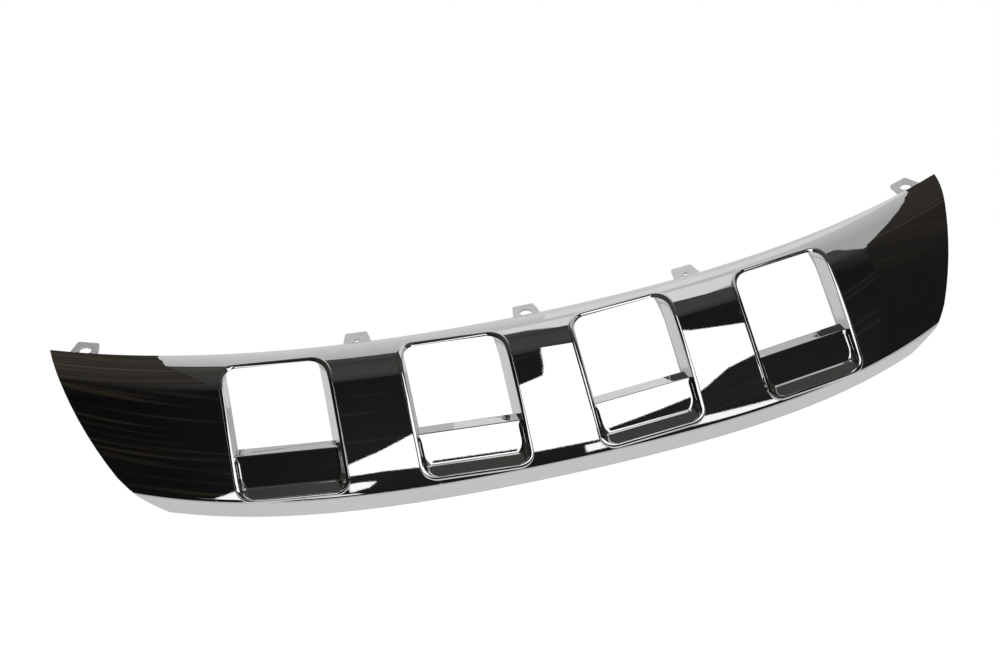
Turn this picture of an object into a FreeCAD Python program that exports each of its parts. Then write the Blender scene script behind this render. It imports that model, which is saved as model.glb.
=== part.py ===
"""Chromed lower bumper grille: a curved face panel with four window bezels, scoop plates, tabs and fixings.

Row frame, millimetres: +X to the right seen from the front, +Y back into the vehicle, +Z up.
The origin is the middle of the hole in the centre tab.
"""
import FreeCAD, Part
import math
import os
import Sketcher

from FreeCAD import Placement, Rotation, Vector

DIMS = {
    # the panel, in its own leaning frame: x along the vehicle's width, y back, z up along the face
    "half_span": 520.0,          # middle to the top corner
    "skin": 3.0,                 # wall of the plated panel
    "lean": 20.0,                # degrees that the face leans back, so that it looks a little upwards
    "face_height": 181.0,        # lower edge to top edge at the middle, along the face
    "top_bow_square": 62.0,      # how far the top edge rises to its ends: the square and fourth power terms
    "top_bow_fourth": 18.0,
    "low_bow_square": 53.0,      # and the lower edge
    "low_bow_fourth": 54.0,
    "sweep": 61.0,               # how far the ends of the face stand back from its middle
    "roll_radius": 65.0,         # the shoulder that turns back under the top edge
    "roll_turn": 67.0,           # its turn at the middle, in degrees
    "roll_turn_loss": 24.0,      # and how much less it turns at the ends
    "crown_radius": 900.0,       # the face's own upright bulge
    "chin_radius": 12.0,         # the small roll above the lower edge
    "chin_turn": 35.0,
    "band_width": 30.0,          # the return band under the lower edge
    "band_drop": 12.5,           # its slope in the leaning frame, in degrees
    "lip_height": 20.0,          # the upright lip at the back of the band
    "low_half_span": 466.0,      # middle to the lower corner of the face
    "end_bulge": 7.0,            # how far the end edges bow outwards
    "corner_reach": 75.0,        # how far in from the lower corners the band tapers
    # the windows
    "window_width": 123.0,       # over the bead
    "window_height": 154.0,
    "window_radius": 18.0,
    "inner_x": 96.0,
    "outer_x": 290.0,
    "inner_z": -62.0,
    "outer_z": -43.5,
    "inner_slope": 4.5,          # degrees that the top and bottom of a window rise outwards
    "outer_slope": 8.2,
    "inner_splay": 1.2,          # degrees that its sides spread downwards
    "outer_splay": 2.3,
    "bead_width": 4.0,
    "bead_height": 1.8,
    "duct_wall": 2.2,
    "duct_depth": 24.0,
    "duct_draft": 14.0,          # inward slope of the duct's sides, in degrees
    "fit_gap": 0.3,
    # the scoop plates
    "scoop_wall": 2.2,
    "scoop_recess": 9.5,
    "scoop_rise": 48.0,          # plate's top above the window's foot
    "scoop_floor_rise": 13.0,    # height of the sloping floor
    "ledge_depth": 8.0,
    "ledge_rise": 7.0,
    # the tabs
    "tab_thick": 2.5,
    "tab_base": 34.0,
    "tab_tip": 24.0,
    "tab_length": 24.0,
    "tab_angle": 33.0,           # degrees above level
    "tab_corner": 3.0,
    "tab_setback": 0.8,          # top edge to the blade's foot
    "tab_hole_reach": 9.5,       # root to hole centre
    "tab_mid_x": 191.0,
    "tab_end_x": 486.0,
    "tab_big_hole": 13.5,
    "tab_small_hole": 5.5,
    "root_length": 20.0,
    "stud_radius": 2.0,
    "stud_spacing": 20.0,
    "stud_inset": 11.0,          # top edge to the studs, along the shoulder
    "nut_radius": 5.0,
    "nut_thick": 1.0,
    "running_gap": 0.1,
    # the bezel screws
    "ear_reach": 11.0,
    "ear_height": 12.0,
    "ear_thick": 2.4,
    "ear_depth": 17.0,           # face to ear, front to back
    "ear_upper": 26.0,
    "ear_lower": -44.0,
    "boss_radius": 3.8,
    "screw_radius": 1.75,
    "screw_length": 11.0,
    "screw_head_radius": 3.6,
    "screw_head_height": 2.4,
    # the lower spring nuts
    "clip_sheet": 1.2,
    "clip_width": 13.0,
    "clip_leg": 9.0,
    "clip_hole_radius": 3.0,
    "lip_hole_radius": 3.5,
    "clip_hole_drop": 5.2,       # lip's top to the hole
    "clip_x_1": 16.0,
    "clip_x_2": 193.0,
    "clip_x_3": 372.0,
}

doc = FreeCAD.newDocument("bumper_grille")
sheet = doc.addObject("Spreadsheet::Sheet", "dims")
for row, (alias, value) in enumerate(DIMS.items(), start=1):
    sheet.set(f"A{row}", alias)
    sheet.set(f"B{row}", str(value))
    sheet.setAlias(f"B{row}", alias)
doc.recompute()


def size(alias):
    """A driving dimension, as the sheet holds it."""
    return float(sheet.get(alias))


def turn(alias):
    """A driving angle in radians."""
    return math.radians(size(alias))


# ---- the panel's section at each place across the vehicle ----

STATIONS = [-1.04, -0.88, -0.66, -0.44, -0.22, 0.0, 0.22, 0.44, 0.66, 0.88, 1.04]
TRIM_DROP = 34.0       # how far a trimming layer runs on below the lower edge
TOP_AT_MIDDLE = 35.0   # top edge above the panel frame's own level
FOOT_SLOPE = 0.62      # fall of the trimming line beyond the lower corners


def bow(x, square, fourth):
    """Rise of an edge at x: nothing at the middle."""
    u = x / size("half_span")
    return size(square) * u**2 + size(fourth) * u**4


def leaned(x, y, z):
    """A point of the leaning frame in the row frame, before the origin is moved."""
    a = turn("lean")
    return Vector(x, y * math.cos(a) + z * math.sin(a), -y * math.sin(a) + z * math.cos(a))


class Section:
    """The panel's outer line in the plane at x, in the leaning frame."""

    def __init__(self, x):
        self.x = x
        u2 = (x / size("half_span")) ** 2
        self.top = TOP_AT_MIDDLE + bow(x, "top_bow_square", "top_bow_fourth")
        self.low = TOP_AT_MIDDLE - size("face_height") + bow(x, "low_bow_square", "low_bow_fourth")
        self.roll, self.crown, self.chin = (size(n) for n in ("roll_radius", "crown_radius", "chin_radius"))
        self.roll_turn = math.radians(size("roll_turn") - size("roll_turn_loss") * u2)
        self.chin_turn = turn("chin_turn")
        tall = self.top - self.low
        used = self.roll * math.sin(self.roll_turn) + self.chin * math.sin(self.chin_turn)
        self.half_turn = math.asin((tall - used) / (2 * self.crown - self.roll - self.chin))
        front = size("sweep") * u2
        half = self.crown * math.sin(self.half_turn)
        self.middle = self.low + self.chin * (math.sin(self.chin_turn) - math.sin(self.half_turn)) + half
        self.crown_centre = (front + self.crown, self.middle)
        c, s = math.cos(self.half_turn), math.sin(self.half_turn)
        inset = self.crown - self.roll
        self.roll_centre = (self.crown_centre[0] - inset * c, self.middle + inset * s)
        inset = self.crown - self.chin
        self.chin_centre = (self.crown_centre[0] - inset * c, self.middle - inset * s)

    def on(self, centre, radius, angle):
        """Point of an arc whose normal is `angle` above the forward direction."""
        y, z = centre
        return leaned(self.x, y - radius * math.cos(angle), z + radius * math.sin(angle))

    def top_edge(self, out=0.0):
        return self.on(self.roll_centre, self.roll + out, self.roll_turn)

    def shoulder(self, back, out=0.0):
        """Point of the shoulder `back` mm down its arc from the top edge."""
        return self.on(self.roll_centre, self.roll + out, self.roll_turn - back / self.roll)

    def shoulder_normal(self, back):
        angle = self.roll_turn - back / self.roll
        return leaned(0, -math.cos(angle), math.sin(angle))

    def face_point(self, z, out=0.0):
        """Point of the face or shoulder at height z of the leaning frame."""
        centre, radius = self.crown_centre, self.crown
        if z > self.middle + self.crown * math.sin(self.half_turn):
            centre, radius = self.roll_centre, self.roll
        return self.on(centre, radius + out, math.asin((z - centre[1]) / radius))

    def arc(self, centre, radius, first, last):
        ends = [self.on(centre, radius, a) for a in (first, (first + last) / 2, last)]
        return Part.Arc(*ends).toShape()

    def face_edges(self, out):
        """Shoulder and face as two arcs, from the top edge down."""
        return [
            self.arc(self.roll_centre, self.roll + out, self.roll_turn, self.half_turn),
            self.arc(self.crown_centre, self.crown + out, self.half_turn, -self.half_turn),
        ]

    def skin_edges(self, out):
        """The whole outer line from the top edge to the top of the lip."""
        drop = turn("band_drop")
        lower = self.on(self.chin_centre, self.chin, -self.chin_turn)
        along = leaned(0, math.cos(drop), -math.sin(drop))
        away = leaned(0, -math.sin(drop), -math.cos(drop))
        centre = leaned(self.x, *self.chin_centre)
        base = lower + away * out
        # where the moved band line meets the moved chin arc
        reach = (base - centre).dot(along)
        square = (base - centre).Length ** 2 - (self.chin + out) ** 2
        corner = base + along * (-reach - math.sqrt(max(reach**2 - square, 0.0)))
        spoke = corner - centre
        forward, upward = leaned(0, -1, 0), leaned(0, 0, 1)
        last = math.atan2(spoke.dot(upward), spoke.dot(forward))
        chin = self.arc(self.chin_centre, self.chin + out, -self.half_turn, last)
        # the lip is upright, so the band ends where the moved upright line crosses it
        end = lower + along * size("band_width")
        back = end.y + out
        run = (back - base.y) / along.y
        heel = base + along * run
        tip = Vector(self.x, back, end.z + size("lip_height"))
        lines = [Part.makeLine(corner, heel), Part.makeLine(heel, tip)]
        return self.face_edges(out) + [chin] + lines

    def skin_wire(self):
        outer, inner = self.skin_edges(0.0), self.skin_edges(-size("skin"))
        caps = [Part.makeLine(a[end].Vertexes[n].Point, b[end].Vertexes[n].Point)
                for a, b, end, n in ((outer, inner, -1, -1), (inner, outer, 0, 0))]
        return Part.Wire(Part.__sortEdges__(outer + [caps[0]] + inner[::-1] + [caps[1]]))

    def trim_wire(self, inner, outer):
        """A closed layer between two distances from the face, run on below the lower edge."""
        chains = []
        for out in (outer, inner):
            first = self.crown_centre
            steep = self.half_turn + TRIM_DROP / self.crown
            chains.append([
                self.arc(self.roll_centre, self.roll + out, self.roll_turn, self.half_turn),
                self.arc(first, self.crown + out, self.half_turn, -steep),
            ])
        far, near = chains
        caps = [Part.makeLine(a[end].Vertexes[n].Point, b[end].Vertexes[n].Point)
                for a, b, end, n in ((far, near, -1, -1), (near, far, 0, 0))]
        return Part.Wire(Part.__sortEdges__(far + [caps[0]] + near[::-1] + [caps[1]]))


# ---- small helpers for the document ----

def tab_frame(x):
    """Root point, width direction, length direction and normal of the tab at x."""
    here, step = Section(x), 1.0
    across = Section(x + step).top_edge() - Section(x - step).top_edge()
    across.normalize()
    angle = turn("tab_angle")
    up_back = Vector(0, math.cos(angle), math.sin(angle))
    up_back = up_back - across * up_back.dot(across)
    up_back.normalize()
    normal = across.cross(up_back)
    root = here.top_edge(-size("skin") - size("running_gap") - size("tab_thick") / 2)
    root = root + Vector(0, size("tab_setback"), 0)
    return root, across, up_back, normal


def origin_shift():
    """The centre tab's hole goes to the origin."""
    root, _, along, _ = tab_frame(0.0)
    return root + along * size("tab_hole_reach")


SHIFT = Placement(-origin_shift(), Rotation())


def feature(name, shape):
    """A Part::Feature in the row frame."""
    thing = doc.addObject("Part::Feature", name)
    thing.Shape = shape
    thing.Placement = SHIFT.multiply(thing.Placement)
    return thing


def boolean(kind, name, base, tool):
    thing = doc.addObject(f"Part::{kind}", name)
    thing.Base, thing.Tool = base, tool
    doc.recompute()
    return thing


def union(name, things):
    thing = doc.addObject("Part::MultiFuse", name)
    thing.Shapes = things
    thing.Refine = False
    doc.recompute()
    return thing


def group(name, things):
    thing = doc.addObject("Part::Compound", name)
    thing.Links = things
    doc.recompute()
    return thing


def mirrored(name, source):
    thing = doc.addObject("Part::Mirroring", name)
    thing.Source = source
    thing.Normal = Vector(1, 0, 0)
    doc.recompute()
    return thing


def cylinder(name, radius, height, placement):
    """A Part::Cylinder whose radius and height are expressions on the sheet."""
    thing = doc.addObject("Part::Cylinder", name)
    thing.setExpression("Radius", radius)
    thing.setExpression("Height", height)
    thing.Placement = placement
    return thing


def facing(point, direction):
    """A placement at a point of the unshifted frame, its Z along the direction."""
    return SHIFT.multiply(Placement(point, Rotation(Vector(0, 0, 1), direction)))


def axes(point, across, along, normal):
    """A placement whose X, Y and Z are these directions."""
    matrix = FreeCAD.Matrix(across.x, along.x, normal.x, point.x, across.y, along.y, normal.y, point.y,
                            across.z, along.z, normal.z, point.z, 0, 0, 0, 1)
    return SHIFT.multiply(Placement(matrix))


def lofted(name, wires, ruled=False):
    """A Part::Loft through closed wires."""
    sections = [feature(f"{name}_wire_{n}", wire) for n, wire in enumerate(wires)]
    loft = doc.addObject("Part::Loft", name)
    loft.Sections = sections
    loft.Solid = True
    loft.Ruled = ruled
    doc.recompute()
    return loft


# ---- the face panel ----

def stations():
    return [Section(u * size("half_span")) for u in STATIONS]


def layer(name, inner, outer):
    return lofted(name, [s.trim_wire(inner, outer) for s in stations()])


def end_outline():
    """Front view of the panel's two ends, as a closed wire well above and below its edges."""
    top, low = Section(size("half_span")), Section(size("low_half_span"))
    high = top.top_edge().z
    foot = low.on(low.chin_centre, low.chin, -low.chin_turn).z
    span, base = size("half_span"), size("low_half_span")
    over = 60.0
    slope = (span - base) / (high - foot)
    peak = (span + slope * over * 0.2, high + over * 0.2)
    lean = Vector(span - base, 0, high - foot)
    lean.normalize()
    out = Vector(lean.z, 0, -lean.x) * size("end_bulge")
    mid = Vector((span + base) / 2, 0, (high + foot) / 2) + out
    corner = Vector(base, 0, foot)
    # the end edge runs into one sweeping arc that tapers the band away towards the corner
    reach = size("corner_reach")
    start = corner + lean * (reach * 0.27)
    turn_mid = corner - Vector(reach * 0.33, 0, reach * 0.23)
    turn_end = corner - Vector(reach, 0, reach * 0.67)
    deep = turn_end + Vector(-1, 0, -FOOT_SLOPE).normalize() * 70.0
    right = [
        Part.makeLine(Vector(0, 0, peak[1] + over), Vector(peak[0], 0, peak[1] + over)),
        Part.makeLine(Vector(peak[0], 0, peak[1] + over), Vector(span, 0, high)),
        Part.Arc(Vector(span, 0, high), mid, start).toShape(),
        Part.Arc(start, turn_mid, turn_end).toShape(),
        Part.makeLine(turn_end, deep),
        Part.makeLine(deep, Vector(deep.x, 0, deep.z - 2 * over)),
        Part.makeLine(Vector(deep.x, 0, deep.z - 2 * over), Vector(0, 0, deep.z - 2 * over)),
    ]
    left = [edge.mirror(Vector(0, 0, 0), Vector(1, 0, 0)) for edge in right]
    return Part.Wire(Part.__sortEdges__(right + left))


def end_prism():
    wire = end_outline()
    face = Part.Face(wire)
    back = 400.0
    shape = face.extrude(Vector(0, 2 * back, 0))
    shape.translate(Vector(0, -back, 0))
    return feature("end_prism", shape)


# ---- the windows ----

def rounded(points, radius):
    """Closed wire through points in a plane, each corner rounded."""
    edges, count = [], len(points)
    starts, ends = [], []
    for n, corner in enumerate(points):
        to_last = (points[n - 1] - corner).normalize()
        to_next = (points[(n + 1) % count] - corner).normalize()
        half = to_last.getAngle(to_next) / 2
        cut = radius / math.tan(half)
        middle = corner + (to_last + to_next).normalize() * (radius / math.sin(half) - radius)
        starts.append(corner + to_last * cut)
        ends.append(corner + to_next * cut)
        edges.append((starts[-1], middle, ends[-1]))
    made = []
    for n, (first, middle, last) in enumerate(edges):
        made.append(Part.Arc(first, middle, last).toShape())
        made.append(Part.makeLine(last, starts[(n + 1) % count]))
    return Part.Wire(made)


class Window:
    """One window: an outline in the plane of the face that can be moved back and inset."""

    def __init__(self, kind):
        self.kind = kind
        self.x, self.z = size(f"{kind}_x"), size(f"{kind}_z")
        slope, splay = turn(f"{kind}_slope"), turn(f"{kind}_splay")
        step = 1.0
        here = Section(self.x)
        self.centre = here.on(here.crown_centre, here.crown, math.asin((self.z - here.middle) / here.crown))
        beside = Section(self.x + step)
        lift = step * math.tan(slope)
        z = self.z + lift
        other = beside.on(beside.crown_centre, beside.crown, math.asin((z - beside.middle) / beside.crown))
        self.across = (other - self.centre).normalize()
        self.up = leaned(-math.sin(splay), 0, math.cos(splay))

    def at(self, right, high, back=0.0):
        """Point by distances along the window's width and height and straight back."""
        return self.centre + self.across * right + self.up * high + Vector(0, back, 0)

    def outline(self, inset, back, draft=0.0):
        """The window's outline `back` mm behind its face, inset all round and drawn in at its sides."""
        side = size("window_width") / 2 - inset - back * math.tan(draft)
        tall = size("window_height") / 2 - inset
        radius = max(size("window_radius") - inset - back * math.tan(draft), 4.0)
        corners = [self.at(right, high, back) for right, high in
                   ((-side, tall), (side, tall), (side, -tall), (-side, -tall))]
        return rounded(corners, radius)

    def prism(self, name, inset, draft=0.0, front=-16.0, back=60.0):
        wires = [self.outline(inset, depth, draft) for depth in (front, back)]
        return lofted(name, wires, ruled=True)


def bezel(window, bead_layer, duct_layer):
    """The bead round the window and the duct behind it, with four screw ears."""
    kind, draft = window.kind, turn("duct_draft")
    bore = window.prism(f"{kind}_bore", size("bead_width"), draft)
    outer = window.prism(f"{kind}_duct_outer", size("bead_width") - size("duct_wall"), draft)
    rim = window.prism(f"{kind}_rim_outer", 0.0)
    tube = boolean("Common", f"{kind}_tube", outer, duct_layer)
    ring = boolean("Common", f"{kind}_ring", rim, bead_layer)
    ears = [ear(window, side, high) for side in (-1, 1) for high in ("ear_upper", "ear_lower")]
    whole = union(f"{kind}_solid", [tube, ring] + ears)
    return boolean("Cut", f"window_bezel_{kind}_right", whole, bore)


def ear_place(window, side, high):
    """Middle of an ear's screw hole on its front face."""
    depth = size("ear_depth")
    half = size("window_width") / 2 - size("bead_width") + size("duct_wall")
    wall = half - depth * math.tan(turn("duct_draft"))
    right = side * (wall + size("ear_reach") - size("boss_radius"))
    point = window.at(right, size(high), 0.0)
    section = Section(point.x)
    # straight back from the face at that x and height
    low, tall = section.face_point(section.low), section.face_point(section.top)
    share = (point.z - low.z) / (tall.z - low.z)
    z = section.low + share * (section.top - section.low)
    for _ in range(12):
        z += point.z - section.face_point(z).z
    return Vector(point.x, section.face_point(z).y + depth, point.z), side


def ear(window, side, high):
    point, side = ear_place(window, side, high)
    name = f"{window.kind}_{high}_{'out' if side > 0 else 'in'}"
    plate = doc.addObject("Part::Box", f"{name}_plate")
    plate.setExpression("Length", "dims.ear_reach + dims.boss_radius + 2")
    plate.setExpression("Width", "dims.ear_thick")
    plate.setExpression("Height", "dims.ear_height")
    long = size("ear_reach") + size("boss_radius") + 2
    start = point.x - size("boss_radius") - 1.5 if side < 0 else point.x + size("boss_radius") + 1.5 - long
    plate.Placement = SHIFT.multiply(
        Placement(Vector(start, point.y, point.z - size("ear_height") / 2), Rotation()))
    hole = cylinder(f"{name}_hole", "dims.screw_radius + dims.fit_gap", "dims.ear_thick + 2",
                    facing(point - Vector(0, 1, 0), Vector(0, 1, 0)))
    return boolean("Cut", name, plate, hole)


def boss(window, side, high):
    """Screw boss on the back of the panel, from inside its skin to the ear."""
    point, side = ear_place(window, side, high)
    name = f"{window.kind}_{high}_{'out' if side > 0 else 'in'}_boss"
    root = size("skin") * 0.75
    post = cylinder(f"{name}_post", "dims.boss_radius", f"dims.ear_depth - {root}",
                    facing(Vector(point.x, point.y - size("ear_depth") + root, point.z), Vector(0, 1, 0)))
    pilot = cylinder(f"{name}_pilot", "dims.screw_radius + dims.running_gap", "dims.screw_length",
                     facing(point - Vector(0, size("screw_length") - 1, 0), Vector(0, 1, 0)))
    return boolean("Cut", name, post, pilot)


def screw(window, side, high):
    """Pan-head screw through an ear into its boss."""
    point, side = ear_place(window, side, high)
    name = f"{window.kind}_{high}_{'out' if side > 0 else 'in'}_screw"
    behind = point + Vector(0, size("ear_thick"), 0)
    head = cylinder(f"{name}_head", "dims.screw_head_radius", "dims.screw_head_height",
                    facing(behind, Vector(0, 1, 0)))
    shank = cylinder(f"{name}_shank", "dims.screw_radius", "dims.screw_length",
                     facing(behind - Vector(0, size("screw_length") - 0.5, 0), Vector(0, 1, 0)))
    return union(name, [head, shank])


def scoop(window):
    """The closed foot of a window: sloping floor, upright plate and ledge, as one folded sheet."""
    foot = -size("window_height") / 2 + size("bead_width")
    recess, wall = size("scoop_recess"), size("scoop_wall")
    # front line of the sheet: (straight back, up the face)
    line = [
        (1.2, foot + size("fit_gap")),
        (recess, foot + size("scoop_floor_rise")),
        (recess, foot + size("scoop_rise")),
        (recess + size("ledge_depth"), foot + size("scoop_rise") + size("ledge_rise")),
    ]
    behind = [
        (recess + size("ledge_depth") + wall, foot + size("scoop_rise") + size("ledge_rise") - wall * 0.4),
        (recess + wall, foot + size("scoop_rise") - wall * 0.6),
        (recess + wall, foot + size("scoop_floor_rise") - wall * 0.4),
        (1.2 + wall * 1.9, foot + size("fit_gap")),
    ]
    side = size("window_width") / 2
    points = [window.at(-side, high, back) for back, high in line + behind]
    face = Part.Face(Part.makePolygon(points + [points[0]]))
    sheet_solid = feature(f"{window.kind}_scoop_sheet", face.extrude(window.across * (2 * side)))
    inside = window.prism(f"{window.kind}_scoop_space", size("bead_width") + size("fit_gap"), turn("duct_draft"))
    return boolean("Common", f"scoop_plate_{window.kind}_right", sheet_solid, inside)


# ---- the tabs ----

def blade(name, hole):
    """The flat tab, drawn and padded in its own plane: root edge on X, length along Y."""
    body = doc.addObject("PartDesign::Body", f"{name}_body")
    sketch = body.newObject("Sketcher::SketchObject", f"{name}_sketch")
    plane = [f for f in body.Origin.OriginFeatures if f.Role == "XY_Plane"][0]
    sketch.AttachmentSupport = (plane, "")
    sketch.MapMode = "FlatFace"
    base, tip, long = size("tab_base") / 2, size("tab_tip") / 2, size("tab_length")
    corners = [Vector(-base, -2, 0), Vector(base, -2, 0), Vector(tip, long, 0), Vector(-tip, long, 0)]
    for n, corner in enumerate(corners):
        sketch.addGeometry(Part.LineSegment(corner, corners[(n + 1) % 4]), False)
    for n in range(4):
        sketch.addConstraint(Sketcher.Constraint("Coincident", n, 2, (n + 1) % 4, 1))
    sketch.addConstraint(Sketcher.Constraint("Symmetric", 0, 1, 0, 2, -2))
    sketch.addConstraint(Sketcher.Constraint("Symmetric", 2, 1, 2, 2, -2))
    bound = {
        "root_width": (Sketcher.Constraint("DistanceX", 0, 1, 0, 2, 2 * base), "dims.tab_base"),
        "tip_width": (Sketcher.Constraint("DistanceX", 2, 2, 2, 1, 2 * tip), "dims.tab_tip"),
        "reach": (Sketcher.Constraint("DistanceY", -1, 1, 2, 1, long), "dims.tab_length"),
        "overlap": (Sketcher.Constraint("DistanceY", 0, 1, -1, 1, 2.0), "dims.tab_thick * 0.8"),
    }
    for label, (constraint, formula) in bound.items():
        index = sketch.addConstraint(constraint)
        sketch.renameConstraint(index, label)
        sketch.setExpression(f"Constraints.{label}", formula)
    pad = body.newObject("PartDesign::Pad", f"{name}_pad")
    pad.Profile = sketch
    pad.setExpression("Length", "dims.tab_thick")
    pad.Midplane = True
    doc.recompute()
    upright = [f"Edge{n}" for n, e in enumerate(pad.Shape.Edges, start=1)
               if abs(e.tangentAt(e.FirstParameter).z) > 0.99 and e.Vertexes[0].Point.y > long / 2]
    soft = body.newObject("PartDesign::Fillet", f"{name}_corners")
    soft.Base = (pad, upright)
    soft.setExpression("Radius", "dims.tab_corner")
    doc.recompute()
    drill = cylinder(f"{name}_drill", f"dims.{hole} / 2", "dims.tab_thick * 3",
                     Placement(Vector(0, size("tab_hole_reach"), -size("tab_thick") * 1.5), Rotation()))
    return boolean("Cut", f"{name}_blade", body, drill)


def studs(x):
    """Places and outward normals of the two studs that carry the tab at x."""
    found = []
    for side in (-1, 1):
        section = Section(x + side * size("stud_spacing") / 2)
        point = section.shoulder(size("stud_inset"), -size("skin"))
        found.append((point, section.shoulder_normal(size("stud_inset"))))
    return found


def tab(name, x, hole, root_layer):
    """A tab: a root that lies under the shoulder and a blade that stands up behind the top edge."""
    root, across, along, normal = tab_frame(x)
    plate = blade(name, hole)
    plate.Placement = axes(root, across, along, normal)
    half = size("tab_base") / 2
    box = doc.addObject("Part::Box", f"{name}_root_box")
    box.setExpression("Length", "dims.tab_base")
    box.setExpression("Width", "dims.root_length")
    box.Height = 60.0
    corner = root - across * half - Vector(0, 1, 0) * size("root_length") - Vector(0, 0, 1) * 30.0
    flat = Vector(across.x, across.y, 0).normalize()
    box.Placement = SHIFT.multiply(Placement(corner, Rotation(Vector(1, 0, 0), flat)))
    seat = boolean("Common", f"{name}_seat", root_layer, box)
    solid = union(f"{name}_solid", [plate, seat])
    holes = []
    for n, (point, out) in enumerate(studs(x)):
        holes.append(cylinder(f"{name}_stud_hole_{n}", "dims.stud_radius + dims.fit_gap", "24",
                              facing(point + out * 12, out * -1)))
    both = group(f"{name}_stud_holes", holes)
    return boolean("Cut", name, solid, both)


def tab_studs(name, x):
    """The panel's own studs through the tab's root."""
    made = []
    for n, (point, out) in enumerate(studs(x)):
        made.append(cylinder(f"{name}_stud_{n}", "dims.stud_radius", "dims.tab_thick + dims.nut_thick + 4",
                             facing(point + out * 1.5, out * -1)))
    return made


def push_nuts(name, x):
    """The flat spring nuts pressed over the studs."""
    made = []
    down = size("tab_thick") + size("running_gap")
    for n, (point, out) in enumerate(studs(x)):
        place = facing(point - out * (down + 2 * size("fit_gap")), out * -1)
        disc = cylinder(f"{name}_nut_{n}", "dims.nut_radius", "dims.nut_thick", place)
        eye = cylinder(f"{name}_nut_eye_{n}", "dims.stud_radius + dims.running_gap", "dims.nut_thick", place)
        made.append(boolean("Cut", f"{name}_push_nut_{n}", disc, eye))
    return made


# ---- the lower spring nuts ----

def clip_frame(x):
    """Top of the lip at x, on its rear face, and the directions along its top edge and level to the rear."""
    step = 1.0
    tips = [Section(x + d).skin_edges(0.0)[-1].Vertexes[-1].Point for d in (-step, 0.0, step)]
    across = tips[2] - tips[0]
    across.normalize()
    return tips[1], across, Vector(-across.y, across.x, 0).normalize()


def spring_nut(name, x):
    """A folded steel clip over the lip with a hole for the fixing screw."""
    tip, across, rear = clip_frame(x)
    turned = Rotation(across, rear, across.cross(rear), "XYZ")
    wide, gap = size("clip_width"), size("fit_gap")
    top = tip + Vector(0, 0, gap)

    def block(label, formulas, offset):
        thing = doc.addObject("Part::Box", f"{name}_{label}")
        for side, formula in formulas.items():
            thing.setExpression(side, formula)
        thing.Placement = SHIFT.multiply(Placement(top + turned.multVec(offset), turned))
        return thing

    sheet_wall, skin = size("clip_sheet"), size("skin")
    outer = block("outer", {
        "Length": "dims.clip_width",
        "Width": "dims.skin + 2 * dims.fit_gap + 2 * dims.clip_sheet",
        "Height": "dims.clip_leg + dims.clip_sheet",
    }, Vector(-wide / 2, -skin - gap - sheet_wall, -size("clip_leg")))
    slot = block("slot", {
        "Length": "dims.clip_width + 2",
        "Width": "dims.skin + 2 * dims.fit_gap",
        "Height": "dims.clip_leg + 1",
    }, Vector(-wide / 2 - 1, -skin - gap, -size("clip_leg") - 1))
    folded = boolean("Cut", f"{name}_folded", outer, slot)
    hole = cylinder(f"{name}_hole", "dims.clip_hole_radius", "20", lip_hole_place(x))
    return boolean("Cut", name, folded, hole)


def lip_hole_place(x):
    tip, _, rear = clip_frame(x)
    start = tip - rear * 12 - Vector(0, 0, size("clip_hole_drop"))
    return facing(start, rear)


# ---- building ----

CLIPS = ("clip_x_1", "clip_x_2", "clip_x_3")
TABS = {
    "tab_centre": (0.0, "tab_big_hole"),
    "tab_mid_right": (size("tab_mid_x"), "tab_small_hole"),
    "tab_end_right": (size("tab_end_x"), "tab_big_hole"),
}


def build_panel(windows):
    """The plated face panel with its cut-outs, bosses and studs."""
    skin = lofted("skin_loft", [s.skin_wire() for s in stations()])
    trimmed = boolean("Common", "skin_trimmed", skin, end_prism())
    cutters, added = [], []
    for window in windows:
        inset = size("bead_width") - size("duct_wall") - size("fit_gap")
        hole = window.prism(f"{window.kind}_cut", inset, turn("duct_draft"), front=-30.0, back=30.0)
        cutters += [hole, mirrored(f"{window.kind}_cut_left", hole)]
        for side in (-1, 1):
            for high in ("ear_upper", "ear_lower"):
                post = boss(window, side, high)
                added += [post, mirrored(f"{post.Name}_left", post)]
    for name, (x, _) in TABS.items():
        for post in tab_studs(name, x):
            added.append(post)
            if x:
                added.append(mirrored(f"{post.Name}_left", post))
    for name in CLIPS:
        hole = cylinder(f"{name}_lip_hole", "dims.lip_hole_radius", "20", lip_hole_place(size(name)))
        cutters += [hole, mirrored(f"{name}_lip_hole_left", hole)]
    pierced = boolean("Cut", "panel_pierced", trimmed, group("panel_cutters", cutters))
    return union("face_panel", [pierced] + added)


def build():
    made = {}
    windows = [Window("inner"), Window("outer")]
    made["face_panel"] = build_panel(windows)
    bead_layer = layer("bead_layer", size("running_gap"), size("bead_height"))
    duct_layer = layer("duct_layer", -size("duct_depth"), size("bead_height"))
    screws = []
    for window in windows:
        for maker, stem in ((lambda w: bezel(w, bead_layer, duct_layer), "window_bezel"), (scoop, "scoop_plate")):
            right = maker(window)
            made[f"{stem}_{window.kind}_right"] = right
            made[f"{stem}_{window.kind}_left"] = mirrored(f"{stem}_{window.kind}_left", right)
        for side in (-1, 1):
            for high in ("ear_upper", "ear_lower"):
                one = screw(window, side, high)
                screws += [one, mirrored(f"{one.Name}_left", one)]
    made["bezel_screws"] = group("bezel_screws", screws)
    under = -size("skin") - size("running_gap")
    root_layer = layer("root_layer", under - size("tab_thick"), under)
    nuts = []
    for name, (x, hole) in TABS.items():
        made[name] = tab(name, x, hole, root_layer)
        found = push_nuts(name, x)
        nuts += found
        if x:
            left = name.replace("right", "left")
            made[left] = mirrored(left, made[name])
            nuts += [mirrored(f"{one.Name}_left", one) for one in found]
    made["tab_push_nuts"] = group("tab_push_nuts", nuts)
    clips = []
    for name in CLIPS:
        one = spring_nut(name, size(name))
        clips += [one, mirrored(f"{name}_left", one)]
    made["lower_spring_nuts"] = group("lower_spring_nuts", clips)
    return made


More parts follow.
